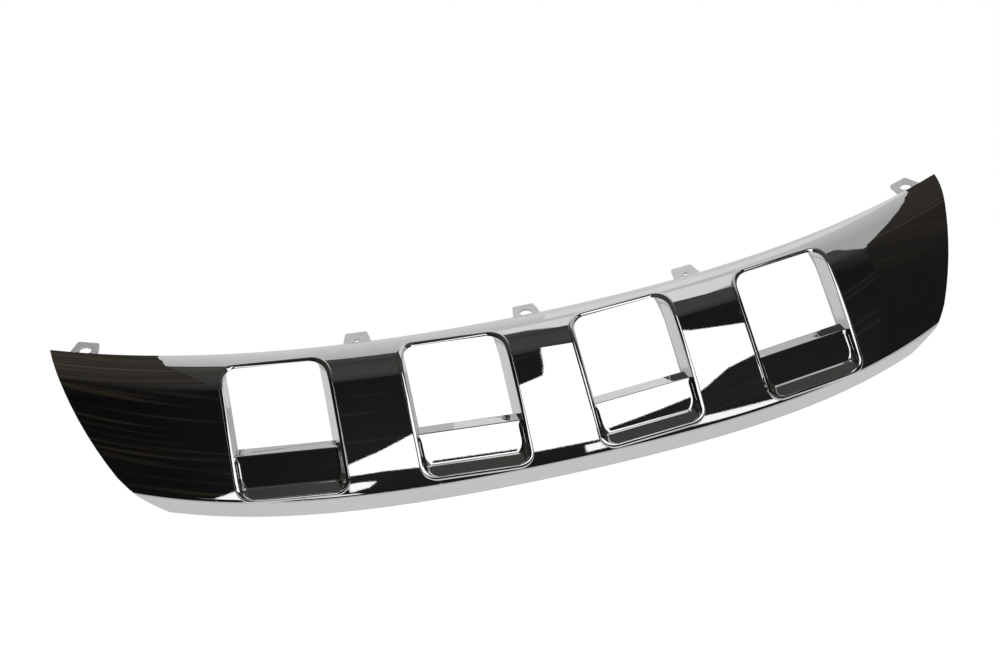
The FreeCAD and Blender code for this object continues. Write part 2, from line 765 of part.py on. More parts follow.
def export(made):
    doc.recompute()
    bad = [o.Name for o in doc.Objects if {"Invalid", "Error"} & set(o.State)]
    for label, thing in made.items():
        thing.Label = label
        if thing.Shape.isNull() or not thing.Shape.isValid() or not thing.Shape.Solids:
            bad.append(label)
    if bad:
        raise SystemExit(f"these objects failed: {bad}")
    os.makedirs("parts", exist_ok=True)
    for label, thing in made.items():
        thing.Shape.exportStep(f"parts/{label}.step")
        print(label, len(thing.Shape.Solids), "solids", round(thing.Shape.Volume), "mm3")


export(build())
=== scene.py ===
import math

import bmesh
import bpy
import numpy as np
from mathutils import Matrix, Vector


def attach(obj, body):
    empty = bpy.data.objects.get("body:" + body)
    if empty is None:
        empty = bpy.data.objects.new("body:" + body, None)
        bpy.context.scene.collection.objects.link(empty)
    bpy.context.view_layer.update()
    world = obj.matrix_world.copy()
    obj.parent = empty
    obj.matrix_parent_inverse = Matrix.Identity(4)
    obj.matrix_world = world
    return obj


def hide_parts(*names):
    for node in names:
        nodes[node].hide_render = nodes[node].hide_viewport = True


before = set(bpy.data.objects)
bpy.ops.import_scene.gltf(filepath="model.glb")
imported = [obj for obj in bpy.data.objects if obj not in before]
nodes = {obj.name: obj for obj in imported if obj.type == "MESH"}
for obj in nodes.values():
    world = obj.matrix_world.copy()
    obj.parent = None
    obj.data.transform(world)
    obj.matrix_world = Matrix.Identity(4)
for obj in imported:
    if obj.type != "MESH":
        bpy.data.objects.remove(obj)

MM = 0.001
scene = bpy.context.scene


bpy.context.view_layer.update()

# ---- the panel's surface, as the CAD makes it: x across, y back, z up, in millimetres ----

HALF_SPAN, SKIN, LEAN = 520.0, 3.0, math.radians(20.0)
TOP, FACE = 35.0, 181.0  # the top edge at the middle, and the height of the face there
TOP_BOW, LOW_BOW, SWEEP = (62.0, 18.0), (53.0, 54.0), 61.0  # how far the ends are higher and further back
ROLL, CROWN, CHIN = 65.0, 900.0, 12.0  # radii of the section's three arcs, from the top down
ROLL_TURN, ROLL_LOSS, CHIN_TURN = 67.0, 24.0, math.radians(35.0)  # the roll turns less at the ends
SHIFT = np.array([0.0, -59.9078, -19.5455])  # from the section's own origin to the part's
COS, SIN = math.cos(LEAN), math.sin(LEAN)


def leaned(x, y, z):
    return np.stack(np.broadcast_arrays(x, y * COS + z * SIN, -y * SIN + z * COS), -1)


class Section:
    """The arcs of the panel's section at each x of an array."""

    def __init__(self, x):
        u2 = (np.asarray(x, float) / HALF_SPAN) ** 2
        top = TOP + TOP_BOW[0] * u2 + TOP_BOW[1] * u2**2
        low = TOP - FACE + LOW_BOW[0] * u2 + LOW_BOW[1] * u2**2
        self.roll_turn = np.radians(ROLL_TURN - ROLL_LOSS * u2)
        used = ROLL * np.sin(self.roll_turn) + CHIN * math.sin(CHIN_TURN)
        self.half = np.arcsin((top - low - used) / (2 * CROWN - ROLL - CHIN))
        front = SWEEP * u2
        middle = low + CHIN * (math.sin(CHIN_TURN) - np.sin(self.half)) + CROWN * np.sin(self.half)
        c, s = np.cos(self.half), np.sin(self.half)
        self.centres = {
            "crown": (front + CROWN, middle),
            "roll": (front + CROWN - (CROWN - ROLL) * c, middle + (CROWN - ROLL) * s),
            "chin": (front + CROWN - (CROWN - CHIN) * c, middle - (CROWN - CHIN) * s),
        }


RADII = {"crown": CROWN, "roll": ROLL, "chin": CHIN}


def surface(x, angle, arc):
    """Point of one arc of the panel at angle above the forward direction."""
    cy, cz = Section(x).centres[arc]
    r = RADII[arc]
    return leaned(x, cy - r * np.cos(angle), cz + r * np.sin(angle)) + SHIFT


def normal(x, angle, arc):
    """Outward unit normal there."""
    e = 0.25
    along_x = surface(x + e, angle, arc) - surface(x - e, angle, arc)
    along_a = surface(x, angle + 1e-3, arc) - surface(x, angle - 1e-3, arc)
    n = np.cross(along_x, along_a)
    n /= np.linalg.norm(n, axis=-1, keepdims=True)
    radial = leaned(0 * x, -np.cos(angle), np.sin(angle))
    return n * np.sign((n * radial).sum(-1))[..., None]


def on_face(x, z):
    """y of the outer surface and its normal, straight back from the point x, z."""
    x, z = np.asarray(x, float), np.asarray(z, float)
    section = Section(x)
    angles = {}
    for arc, r in RADII.items():
        cy, cz = section.centres[arc]
        level = -cy * SIN + cz * COS + SHIFT[2]
        angles[arc] = np.arcsin(np.clip((z - level) / r, -1, 1)) - LEAN
    y = np.empty_like(x)
    n = np.empty(x.shape + (3,))
    masks = {
        "roll": angles["crown"] > section.half,
        "chin": angles["crown"] < -section.half,
    }
    masks["crown"] = ~(masks["roll"] | masks["chin"])
    for arc, mask in masks.items():
        if mask.any():
            y[mask] = surface(x[mask], angles[arc][mask], arc)[..., 1]
            n[mask] = normal(x[mask], angles[arc][mask], arc)
    return y, n


# ---- the windows ----

WIDE, TALL, CORNER = 123.0, 154.0, 18.0  # outline of the bead
BEAD, DUCT, DRAFT, DEPTH = 4.0, 2.2, math.tan(math.radians(14.0)), 24.0  # two widths, slope, depth
DRAFTED_REACH = 25.0  # the duct narrows no further behind this
BORE_EASE, BORE_TIGHTENING, BORE_LEAST = 1.0, 0.4, 4.5  # corner radius of the duct and how it shrinks
BEAD_CREST, BEAD_LIP = 2.3, 0.4
BEAD_TOP_START = {"inner": 51.0, "outer": 48.0}  # lean in degrees where the bead's face starts, at the top
WINDOWS = {"inner": (96.0, -62.0, 4.5, 1.2), "outer": (290.0, -43.5, 8.2, 2.3)}  # x, z, slope, splay


class Window:
    """Place and directions of one window; its own coordinates are right, high and back."""

    def __init__(self, kind, side):
        x, z, slope, splay = WINDOWS[kind]
        self.kind, self.side = kind, side
        self.side_name = "right" if side > 0 else "left"
        self.centre = self.crown_point(x, z)
        beside = self.crown_point(x + 1.0, z + math.tan(math.radians(slope)))
        self.across = (beside - self.centre) / np.linalg.norm(beside - self.centre)
        splay = math.radians(splay)
        self.up = leaned(-math.sin(splay), 0.0, math.cos(splay))

    @staticmethod
    def crown_point(x, z):
        x = np.array(x)
        middle = Section(x).centres["crown"][1]
        return surface(x, np.arcsin((z - middle) / CROWN), "crown")

    def at(self, right, high, back=0.0):
        right, high, back = np.broadcast_arrays(right, high, back)
        p = self.centre + self.across * right[..., None] + self.up * high[..., None]
        p = p + np.array([0.0, 1.0, 0.0]) * back[..., None]
        return p

    def place(self, p):
        """The window is worked out on the right and mirrored for the left."""
        return p * np.array([self.side, 1.0, 1.0])

    def inverse(self, p):
        """Window coordinates (right, high, back) of points of the right-hand window."""
        d = p - self.centre
        a, u = self.across, self.up
        det = a[0] * u[2] - a[2] * u[0]
        right = (d[..., 0] * u[2] - d[..., 2] * u[0]) / det
        high = (a[0] * d[..., 2] - a[2] * d[..., 0]) / det
        return right, high, d[..., 1] - a[1] * right - u[1] * high


def rounded_loop(straight=26, arc=20):
    """Stations round a rounded rectangle: (corner signs x and y, angle, run).

    On a straight side, run holds the next corner's signs and the share of the way to it.
    """
    loop = []
    corners = [(1, 1), (-1, 1), (-1, -1), (1, -1)]
    for k, (sx, sy) in enumerate(corners):
        start = k * math.pi / 2
        for n in range(arc):
            loop.append((sx, sy, start + math.pi / 2 * n / arc, None))
        nx, ny = corners[(k + 1) % 4]
        for n in range(straight):
            loop.append((sx, sy, start + math.pi / 2, (nx, ny, n / straight)))
    return loop


LOOP = rounded_loop()


def bore_radius(inset, depth):
    """Corner radius of the duct, which tightens towards its back edge."""
    return np.maximum(CORNER - inset + BORE_EASE - BORE_TIGHTENING * np.maximum(depth, 0.0), BORE_LEAST)


def outline(half_wide, half_tall, radii):
    """Points of a rounded rectangle; its half width and corner radius may differ from point to point."""
    half_wide = np.broadcast_to(half_wide, (len(LOOP),))
    radii = np.broadcast_to(radii, (len(LOOP),))
    points = np.empty((len(LOOP), 2))
    for i, (sx, sy, angle, run) in enumerate(LOOP):
        w, radius = half_wide[i], radii[i]
        cx, cy = sx * (w - radius), sy * (half_tall - radius)
        x, y = cx + radius * math.cos(angle), cy + radius * math.sin(angle)
        if run:
            nx, ny, share = run
            ex, ey = nx * (w - radius), ny * (half_tall - radius)
            tx, ty = ex + radius * math.cos(angle), ey + radius * math.sin(angle)
            x, y = x + (tx - x) * share, y + (ty - y) * share
        points[i] = x, y
    return points


def bead_profile(top_start):
    """Rows of (share of the way inwards, height) all round: tight outer edge, broad face, tight lip.

    The broad face leans into the window, more at the top, from top_start degrees, and less at the foot.
    """
    rise = np.sin([angle for _, _, angle, _ in LOOP])
    top, foot = np.maximum(rise, 0) ** 2, np.minimum(rise, 0) ** 2

    def all_round(beside, at_top, at_foot):
        return beside + (at_top - beside) * top + (at_foot - beside) * foot

    start = np.radians(all_round(2.0, top_start, -16.0))
    lean = np.radians(all_round(23.0, top_start + 9.0, 4.0))
    broad = all_round(7.6, 14.0, 7.4)
    taken = broad * (np.sin(lean) - np.sin(start)) + BEAD_LIP * (1 - np.sin(lean))
    edge = (BEAD - taken) / (1 + np.sin(start))
    x, h, before = 0 * rise, BEAD_CREST - edge, 0 * rise - math.pi / 2
    points = [(x, 0 * rise), (x, h * 0.6), (x, h)]
    for radius, upto, steps in ((edge, start, 8), (broad, lean, 8), (BEAD_LIP, 0 * rise + math.pi / 2, 6)):
        for k in range(1, steps + 1):
            turn = before + (upto - before) * k / steps
            points.append((x + radius * (np.sin(turn) - np.sin(before)),
                           h + radius * (np.cos(turn) - np.cos(before))))
        x, h = points[-1]
        before = upto
    return [(across[:, None] / BEAD, high[:, None]) for across, high in points]


def bezel_rows(window):
    """Rings of points of a bezel: over the bead, down the duct and back up outside it."""
    half, tall = WIDE / 2, TALL / 2
    rounding = 0.4

    def ring(inset, drafted, depth):
        """Points this far inside the outline; depth is square to the face, so it runs further back
        where the face slopes."""
        back = np.zeros(len(LOOP))
        for _ in range(4):
            wide = half - inset - drafted * np.minimum(back, DRAFTED_REACH) * DRAFT
            radii = bore_radius(inset, depth) if drafted else CORNER - inset
            pts = outline(wide, tall - inset, radii)
            flat = window.at(pts[:, 0], pts[:, 1])
            y, n = on_face(flat[:, 0], flat[:, 2])
            deep = depth / np.maximum(-n[:, 1], 0.5)
            back = y + deep - flat[:, 1]
        p = flat.copy()
        p[:, 1] = y + deep
        return p

    rows = []
    foot_out, foot_in = ring(0.0, 0, 0.0), ring(BEAD, 1, 0.0)
    for share, high in bead_profile(BEAD_TOP_START[window.kind]):
        mid = foot_out * (1 - share) + foot_in * share
        y, n = on_face(mid[:, 0], mid[:, 2])
        p = mid.copy()
        p[:, 1] = y
        rows.append(p + n * high)
    for depth in (0.8, 2.0, 4.0, 7.0, 10.0, 13.0, 16.0, 19.0, 22.0, 23.4):
        rows.append(ring(BEAD, 1, depth))
    rows.append(ring(BEAD - rounding, 1, DEPTH))
    rows.append(ring(BEAD - DUCT + rounding, 1, DEPTH))
    for depth in (23.4, 18.0, 12.0, 6.0, 2.6):
        rows.append(ring(BEAD - DUCT, 1, depth))
    return [window.place(r) for r in rows]


def new_object(name, verts, faces):
    """A mesh object from points in millimetres, with its faces turned outwards."""
    mesh = bpy.data.meshes.new(name)
    mesh.from_pydata((np.asarray(verts) * MM).tolist(), [], [list(map(int, f)) for f in faces])
    mesh.validate()
    obj = bpy.data.objects.new(name, mesh)
    scene.collection.objects.link(obj)
    bm = bmesh.new()
    bm.from_mesh(mesh)
    bmesh.ops.recalc_face_normals(bm, faces=bm.faces)
    bm.to_mesh(mesh)
    bm.free()
    return obj


def sharpen(obj, degrees):
    """Smooth shading, except that edges that turn more than this stay sharp."""
    bm = bmesh.new()
    bm.from_mesh(obj.data)
    limit = math.radians(degrees)
    for edge in bm.edges:
        edge.smooth = not (edge.is_manifold and edge.calc_face_angle(0) > limit)
    for face in bm.faces:
        face.smooth = True
    bm.to_mesh(obj.data)
    bm.free()


def arrays(mesh):
    co = np.empty(len(mesh.vertices) * 3, np.float32)
    mesh.vertices.foreach_get("co", co)
    tri = np.array([list(p.vertices) for p in mesh.polygons])
    return co.reshape(-1, 3).astype(float) / MM, tri


EAR_BEHIND, EAR_ASIDE = 8.0, 0.1  # how far the ears are behind the face and aside of the duct


def ear_faces(window, node):
    """The screw ears of a CAD bezel: its triangles outside the duct and well behind the face."""
    co, tri = arrays(node.data)
    co = window.place(co)
    mid = co[tri].mean(1)
    right, high, back = window.inverse(mid)
    y, _ = on_face(mid[:, 0], mid[:, 2])
    outside = np.abs(right) > WIDE / 2 - BEAD + DUCT - back * DRAFT + EAR_ASIDE
    keep = outside & (mid[:, 1] - y > EAR_BEHIND)
    used = tri[keep]
    index = np.unique(used)
    remap = {int(v): i for i, v in enumerate(index)}
    return window.place(co[index]), [[remap[int(v)] for v in f] for f in used]


def bezel(window):
    name = f"bezel_{window.kind}_{window.side_name}"
    rows = bezel_rows(window)
    count, n = len(rows), len(LOOP)
    verts = [p for row in rows for p in row]
    faces = []
    for r in range(count):
        after = (r + 1) % count
        for i in range(n):
            j = (i + 1) % n
            faces.append((r * n + i, r * n + j, after * n + j, after * n + i))
    ears, ear_tris = ear_faces(window, nodes[f"window_{name}"])
    base = len(verts)
    verts += list(ears)
    faces += [[v + base for v in f] for f in ear_tris]
    obj = new_object(name, verts, faces)
    sharpen(obj, 32)
    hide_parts(f"window_{name}")
    return obj


# the scoop plate's section: how far back and how high above the foot of the duct
PLATE_FOOT, PLATE_TOP, PLATE_MIDDLE = 12.9, 48.0, 30.5
SCOOP_START = {"inner": (2.2, 0.3), "outer": (4.5, 0.3)}
SCOOP_LINE = [(7.9, 11.3), (9.5, PLATE_FOOT), (9.5, PLATE_TOP), (17.5, 55.0)]
SCOOP_FILLETS = [0.0, 0.5, 1.0, 1.6, 0.0]
SCOOP_WALL, SCOOP_CLEAR = 2.0, 0.25
PLATE_EASE = 0.011  # the plate's slope is this much less than the crown's


def filleted(points, radii, steps=9):
    """A line through 2-D points with its corners rounded, evenly filled."""
    made = [np.array(points[0], float)]
    for a, b, c, r in zip(points, points[1:], points[2:], radii[1:]):
        a, b, c = (np.array(p, float) for p in (a, b, c))
        u, v = (a - b) / np.linalg.norm(a - b), (c - b) / np.linalg.norm(c - b)
        half = math.acos(np.clip((u * v).sum(), -1, 1)) / 2
        cut = r / math.tan(half)
        centre = b + (u + v) / np.linalg.norm(u + v) * r / math.sin(half)
        first, last = b + u * cut - centre, b + v * cut - centre
        for s in np.linspace(0, 1, steps):
            d = first * (1 - s) + last * s
            made.append(centre + d / np.linalg.norm(d) * r)
    made.append(np.array(points[-1], float))
    fine = [made[0]]
    for p, q in zip(made, made[1:]):
        parts = max(1, int(np.linalg.norm(q - p) / 1.5))
        fine += [p + (q - p) * (k + 1) / parts for k in range(parts)]
    return np.array(fine)


def follow_crown(line, foot):
    """Bend the plate in the line back as the panel's crown bends, about its middle."""
    high, middle = foot + np.clip(line[:, 1], PLATE_FOOT, PLATE_TOP), foot + PLATE_MIDDLE
    line[:, 0] += (high**2 - middle**2) / (2 * CROWN * COS) + PLATE_EASE * (high - middle)


def side_softness(rise):
    """Radius of the plate's curved sides: largest beside the foot of the plate, none at the sill."""
    to_sill = np.clip((rise - 40.0) / 6.0, 0, 1)
    to_plate = np.clip((rise - 3.0) / 10.0, 0, 1)
    up_plate = np.clip((rise - 13.0) / 13.0, 0, 1)
    return 3.0 * (1 - to_sill**2) + 6.0 * to_plate * (1 - up_plate) ** 2


def scoop(window):
    """The recessed foot plate: sloping floor, plate and sill, with soft sides that follow the duct."""
    foot = -TALL / 2 + BEAD
    line = filleted([SCOOP_START[window.kind]] + SCOOP_LINE, SCOOP_FILLETS)
    if window.kind == "inner":
        follow_crown(line, foot)
    across = np.sin(np.linspace(-math.pi / 2, math.pi / 2, 75))
    front = np.empty((len(line), len(across), 3))
    for i, (back, rise) in enumerate(line):
        radius = bore_radius(BEAD, back)
        soft = side_softness(rise)
        lift = max(radius - rise, 0.0)
        corner = radius - math.sqrt(max(radius**2 - lift**2, 0.0))
        half_foot = WIDE / 2 - BEAD - SCOOP_CLEAR - corner
        gap = (half_foot - back * DRAFT) * (1 - np.abs(across))
        inner = np.clip(1 - gap / max(soft, 1e-6), 0, 1)
        forward = soft * (1 - np.sqrt(1 - np.minimum(inner, 0.995) ** 2)) if soft > 0.01 else 0 * gap
        b = back - np.minimum(forward, max(back - 2.0, 0.0))
        front[i] = window.at((half_foot - b * DRAFT) * across, foot + rise, b)
    du = np.gradient(front, axis=0)
    dv = np.gradient(front, axis=1)
    n = np.cross(du, dv)
    n /= np.linalg.norm(n, axis=-1, keepdims=True)
    n *= -np.sign(n[..., 1:2])
    rear = front - n * SCOOP_WALL
    rows, cols = front.shape[:2]
    verts = np.concatenate([front.reshape(-1, 3), rear.reshape(-1, 3)])
    verts = window.place(verts)
    size = rows * cols
    faces = []
    for i in range(rows - 1):
        for j in range(cols - 1):
            a = i * cols + j
            faces.append((a, a + 1, a + cols + 1, a + cols))
            faces.append((size + a, size + a + cols, size + a + cols + 1, size + a + 1))
    rim = [(0, j) for j in range(cols)] + [(i, cols - 1) for i in range(1, rows)]
    rim += [(rows - 1, j) for j in range(cols - 2, -1, -1)] + [(i, 0) for i in range(rows - 2, 0, -1)]
    ids = [i * cols + j for i, j in rim]
    for a, b in zip(ids, ids[1:] + ids[:1]):
        faces.append((a, b, size + b, size + a))
    obj = new_object(f"scoop_{window.kind}_{window.side_name}", verts, faces)
    sharpen(obj, 40)
    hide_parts(f"scoop_plate_{window.kind}_{window.side_name}")
    return obj


def exact_panel():
    """The CAD panel with the true surface's normals, so that its plating mirrors without facets."""
    source = nodes["face_panel"]
    mesh = source.data.copy()
    obj = bpy.data.objects.new("plated_panel", mesh)
    scene.collection.objects.link(obj)
    mesh.materials.clear()
    if mesh.has_custom_normals:
        bpy.context.view_layer.objects.active = obj
        obj.select_set(True)
        bpy.ops.mesh.customdata_custom_splitnormals_clear()
        obj.select_set(False)
    sharpen(obj, 24)
    co, tri = arrays(mesh)
    corners = np.empty(len(mesh.loops) * 3, np.float32)
    mesh.corner_normals.foreach_get("vector", corners)
    corners = corners.reshape(-1, 3).astype(float)
    flat = np.empty(len(mesh.polygons) * 3, np.float32)
    mesh.polygons.foreach_get("normal", flat)
    flat = flat.reshape(-1, 3)
    local = co - SHIFT
    y = local[:, 1] * COS - local[:, 2] * SIN
    z = local[:, 1] * SIN + local[:, 2] * COS
    section = Section(local[:, 0])
    near, margin = 0.5, 0.02  # vertices within this of an arc, and of its angles, take its normal,
    aligned = 0.97  # unless this is more than the cosine of the normal to the facet's own
    best = np.full(len(co), near)
    exact = np.zeros((len(co), 3))
    for arc, r in RADII.items():
        cy, cz = section.centres[arc]
        angle = np.arctan2(z - cz, cy - y)
        length = np.hypot(z - cz, cy - y)
        low, high = {
            "crown": (-section.half, section.half),
            "roll": (section.half, section.roll_turn),
            "chin": (-CHIN_TURN, -section.half),
        }[arc]
        inside = (angle > low - margin) & (angle < high + margin)
        n = normal(local[:, 0], angle, arc)
        for offset, way in ((0.0, 1.0), (-SKIN, -1.0)):
            off = np.abs(length - (r + offset))
            take = inside & (off < best)
            best[take] = off[take]
            exact[take] = n[take] * way
    good = best < near
    loops = np.array([list(p.loop_indices) for p in mesh.polygons])
    for k in range(tri.shape[1]):
        v = tri[:, k]
        ok = good[v] & ((flat * exact[v]).sum(1) > aligned)
        corners[loops[ok, k]] = exact[v[ok]]
    mesh.normals_split_custom_set(corners.tolist())
    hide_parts("face_panel")
    return obj


# ---- shader nodes ----

def make_node(tree, kind, values=None, **settings):
    """A shader node; values are its inputs, each a plain value or an output to link from."""
    node = tree.nodes.new(kind)
    for key, value in settings.items():
        setattr(node, key, value)
    for key, value in (values or {}).items():
        if isinstance(value, bpy.types.NodeSocket):
            tree.links.new(value, node.inputs[key])
        else:
            node.inputs[key].default_value = value
    return node


def compute(tree, operation, *operands):
    return make_node(tree, "ShaderNodeMath", dict(enumerate(operands)), operation=operation).outputs[0]


def mix_colours(tree, share, first, second, blend="MIX"):
    values = {0: share, 6: first, 7: second}
    return make_node(tree, "ShaderNodeMix", values, data_type="RGBA", blend_type=blend).outputs[2]


def value_ramp(tree, source, low, high, a=0.0, b=1.0):
    values = {"Value": source, "From Min": low, "From Max": high, "To Min": a, "To Max": b}
    return make_node(tree, "ShaderNodeMapRange", values).outputs["Result"]


def object_coordinates(tree):
    return make_node(tree, "ShaderNodeTexCoord").outputs["Object"]


def object_axes(tree):
    return make_node(tree, "ShaderNodeSeparateXYZ", {0: object_coordinates(tree)}).outputs


def noise(tree, scale, detail=3.0, stretch=(1, 1, 1), rough=0.5, turn=(0, 0, 0)):
    values = {"Vector": object_coordinates(tree), "Scale": stretch, "Rotation": turn}
    place = make_node(tree, "ShaderNodeMapping", values).outputs["Vector"]
    values = {"Vector": place, "Scale": scale, "Detail": detail, "Roughness": rough}
    return make_node(tree, "ShaderNodeTexNoise", values).outputs["Fac"]


def empty_tree(owner):
    owner.use_nodes = True
    owner.node_tree.nodes.clear()
    return owner.node_tree


# ---- the part's materials ----

def metal(name, dark, light, rough, grain, bump=0.0, bump_scale=300.0, metallic=1.0):
    """Metal whose colour and gloss drift a little, with a fine surface grain."""
    mat = bpy.data.materials.new(name)
    mat.use_nodes = True
    tree = mat.node_tree
    shader = tree.nodes["Principled BSDF"]
    shader.inputs["Metallic"].default_value = metallic
    cloud = value_ramp(tree, noise(tree, 9.0, 4.0), 0.3, 0.7)
    tree.links.new(mix_colours(tree, cloud, (*dark, 1), (*light, 1)), shader.inputs["Base Color"])
    fine = noise(tree, grain, 5.0, rough=0.6)
    tree.links.new(value_ramp(tree, fine, 0.3, 0.7, rough[0], rough[1]), shader.inputs["Roughness"])
    if bump:
        values = {"Strength": bump, "Distance": 0.0002, "Height": noise(tree, bump_scale, 2.0)}
        tree.links.new(make_node(tree, "ShaderNodeBump", values).outputs["Normal"], shader.inputs["Normal"])
    return mat


chrome = metal("chrome_plating", (0.81, 0.813, 0.822), (0.865, 0.868, 0.876), (0.004, 0.016), 60.0,
               bump=0.012, bump_scale=900.0)
tab_chrome = metal("tab_plating", (0.60, 0.605, 0.61), (0.67, 0.675, 0.68), (0.28, 0.38), 120.0,
                   metallic=0.6)
zinc = metal("zinc_steel", (0.55, 0.55, 0.52), (0.72, 0.71, 0.66), (0.25, 0.45), 400.0,
             bump=0.3, bump_scale=2500.0)
spring = metal("phosphate_steel", (0.035, 0.035, 0.037), (0.08, 0.078, 0.075), (0.42, 0.6), 500.0,
               bump=0.4, bump_scale=3000.0, metallic=0.6)


def dress(obj, mat):
    obj.data.materials.clear()
    obj.data.materials.append(mat)


panel = exact_panel()
dress(panel, chrome)
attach(panel, "root")
for kind in WINDOWS:
    for side in (1, -1):
        window = Window(kind, side)
        for piece in (bezel(window), scoop(window)):
            dress(piece, chrome)
            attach(piece, "root")
for name, node in nodes.items():
    if name.startswith("tab_") and "nut" not in name:
        dress(node, tab_chrome)
    elif name == "bezel_screws":
        dress(node, zinc)
    elif "nut" in name:
        dress(node, spring)

# ---- the studio ----

# distances of what the plating mirrors, in metres from the middle of the part
ROOM, SOFTBOX, STRIPS, CEILING = 3.0, 2.9, 2.8, 3.1
FLAG_HEIGHT, FLOOR_LEVEL, FLOOR_HALF = 0.45, -0.95, 12.0


def sky_point(lateral, height, radius):
    """Place on a sphere round the part: lateral angle and angle from the front horizon up and over."""
    a, h = math.radians(lateral), math.radians(height)
    return (radius * math.sin(a), -radius * math.cos(a) * math.cos(h), radius * math.cos(a) * math.sin(h))


def stage_mesh(name, verts, faces, mat):
    mesh = bpy.data.meshes.new(name)
    mesh.from_pydata(verts, [], faces)
    mesh.materials.append(mat)
    obj = bpy.data.objects.new(name, mesh)
    scene.collection.objects.link(obj)
    return obj


def only_glossy(obj):
    obj.visible_camera = False
    obj.visible_diffuse = False
    obj.visible_shadow = False
    obj.visible_transmission = False


def glow(name, colour, strength=1.0):
    """Material that shines with one colour, until colour_glow gives it a pattern."""
    mat = bpy.data.materials.new(name)
    tree = empty_tree(mat)
    shader = make_node(tree, "ShaderNodeEmission", {"Color": (*colour, 1), "Strength": strength})
    make_node(tree, "ShaderNodeOutputMaterial", {0: shader.outputs[0]})
    return mat


def colour_glow(mat, output):
    mat.node_tree.links.new(output, mat.node_tree.nodes["Emission"].inputs["Color"])


# brightness of the drapes at angles from the front horizon up and over
DRAPES = [(-10, 0.012), (18, 0.010), (24, 0.016), (33, 0.013), (43, 0.009), (47, 0.035), (58, 0.055),
          (78, 0.05), (84, 0.04), (92, 0.06), (120, 0.05)]
# how high the drapes reach at lateral angles
DRAPE_TOPS = [(-86, 92), (-34, 92), (-28, 118), (-16, 118), (-12, 104), (-7, 101), (-1, 98), (9, 96),
              (10.5, 89), (16, 84), (22, 78), (25, 77), (28, 76), (32, 73), (36, 62), (41, 50), (43, 50),
              (45, 92), (86, 92)]
DRAPE_FOOT, DRAPE_SIDE, DRAPE_STEPS = -6, 86, 60
WARM_ABOVE, WARM, COOL = 45, 0.93, 1.12  # an angle, and how much blue the drapes have above and below
ROOM_MIDDLE = 0.65  # the beams are faintest here, in metres across


def drape_ramp(tree, angle):
    """The drapes' colour at an angle: cooler below, warmer above."""
    first, last = DRAPES[0][0], DRAPES[-1][0]
    share = value_ramp(tree, angle, math.radians(first), math.radians(last))
    ramp = make_node(tree, "ShaderNodeValToRGB", {0: share})
    elements = ramp.color_ramp.elements
    elements.remove(elements[0])
    for k, (degrees, level) in enumerate(DRAPES):
        place = (degrees - first) / (last - first)
        element = elements[0] if k == 0 else elements.new(place)
        element.position = place
        element.color = (level, level, level * (WARM if degrees > WARM_ABOVE else COOL), 1)
    return ramp.outputs[0]


def dark_room():
    """Black drapes in front of the part, a little lighter towards the ceiling, with faint brown beams."""
    mat = glow("dark_room", (0, 0, 0))
    tree = mat.node_tree
    axes = object_axes(tree)
    angle = compute(tree, "ARCTAN2", axes["Z"], compute(tree, "MULTIPLY", axes["Y"], -1.0))
    aside = compute(tree, "ABSOLUTE", compute(tree, "SUBTRACT", axes["X"], ROOM_MIDDLE))
    middle = value_ramp(tree, aside, 1.2, 2.2, 1.0, 0.15)
    cloth = mix_colours(tree, middle, (0.003, 0.003, 0.003, 1), drape_ramp(tree, angle))
    slant = (0.0, math.radians(24), math.radians(8))
    grain = noise(tree, 2.2, 2.0, (0.35, 0.35, 13.0), turn=slant)
    beams = value_ramp(tree, grain, 0.56, 0.66)
    beams = compute(tree, "MULTIPLY", beams, value_ramp(tree, aside, 0.4, 2.2, 0.35, 0.7))
    colour_glow(mat, mix_colours(tree, beams, cloth, (0.022, 0.0155, 0.008, 1), "ADD"))
    laterals = np.linspace(-DRAPE_SIDE, DRAPE_SIDE, 2 * DRAPE_SIDE + 1)
    tops = np.interp(laterals, *zip(*DRAPE_TOPS))
    verts, faces = [], []
    for lateral, top in zip(laterals, tops):
        rise = (top - DRAPE_FOOT) / DRAPE_STEPS
        verts += [sky_point(lateral, DRAPE_FOOT + rise * k, ROOM) for k in range(DRAPE_STEPS + 1)]
    for i in range(len(laterals) - 1):
        for k in range(DRAPE_STEPS):
            a = i * (DRAPE_STEPS + 1) + k
            faces.append((a, a + 1, a + DRAPE_STEPS + 2, a + DRAPE_STEPS + 1))
    only_glossy(stage_mesh("dark_room", verts, faces, mat))


def card(name, corners, mat, radius):
    """A light card with these corners as seen from the part: lateral angle and angle up and over."""
    verts = [sky_point(*corner, radius) for corner in corners]
    only_glossy(stage_mesh(name, verts, [list(range(len(verts)))], mat))


def flag(name, corners, mat):
    """A level black card above one end of the part."""
    verts = [(x, y, FLAG_HEIGHT) for x, y in corners]
    only_glossy(stage_mesh(name, verts, [list(range(len(verts)))], mat))


def flag_cloth():
    """Dark cloth with a few lighter brown beams, which fade towards the front."""
    mat = glow("black_flag", (0, 0, 0))
    tree = mat.node_tree
    beams = value_ramp(tree, noise(tree, 3.0, 3.0, (0.6, 7.0, 1.0)), 0.50, 0.68)
    streaked = mix_colours(tree, beams, (0.032, 0.028, 0.024, 1), (0.075, 0.062, 0.038, 1))
    rearward = value_ramp(tree, object_axes(tree)["Y"], -0.6, -0.05)
    colour_glow(mat, mix_colours(tree, rearward, (0.011, 0.010, 0.009, 1), streaked))
    return mat


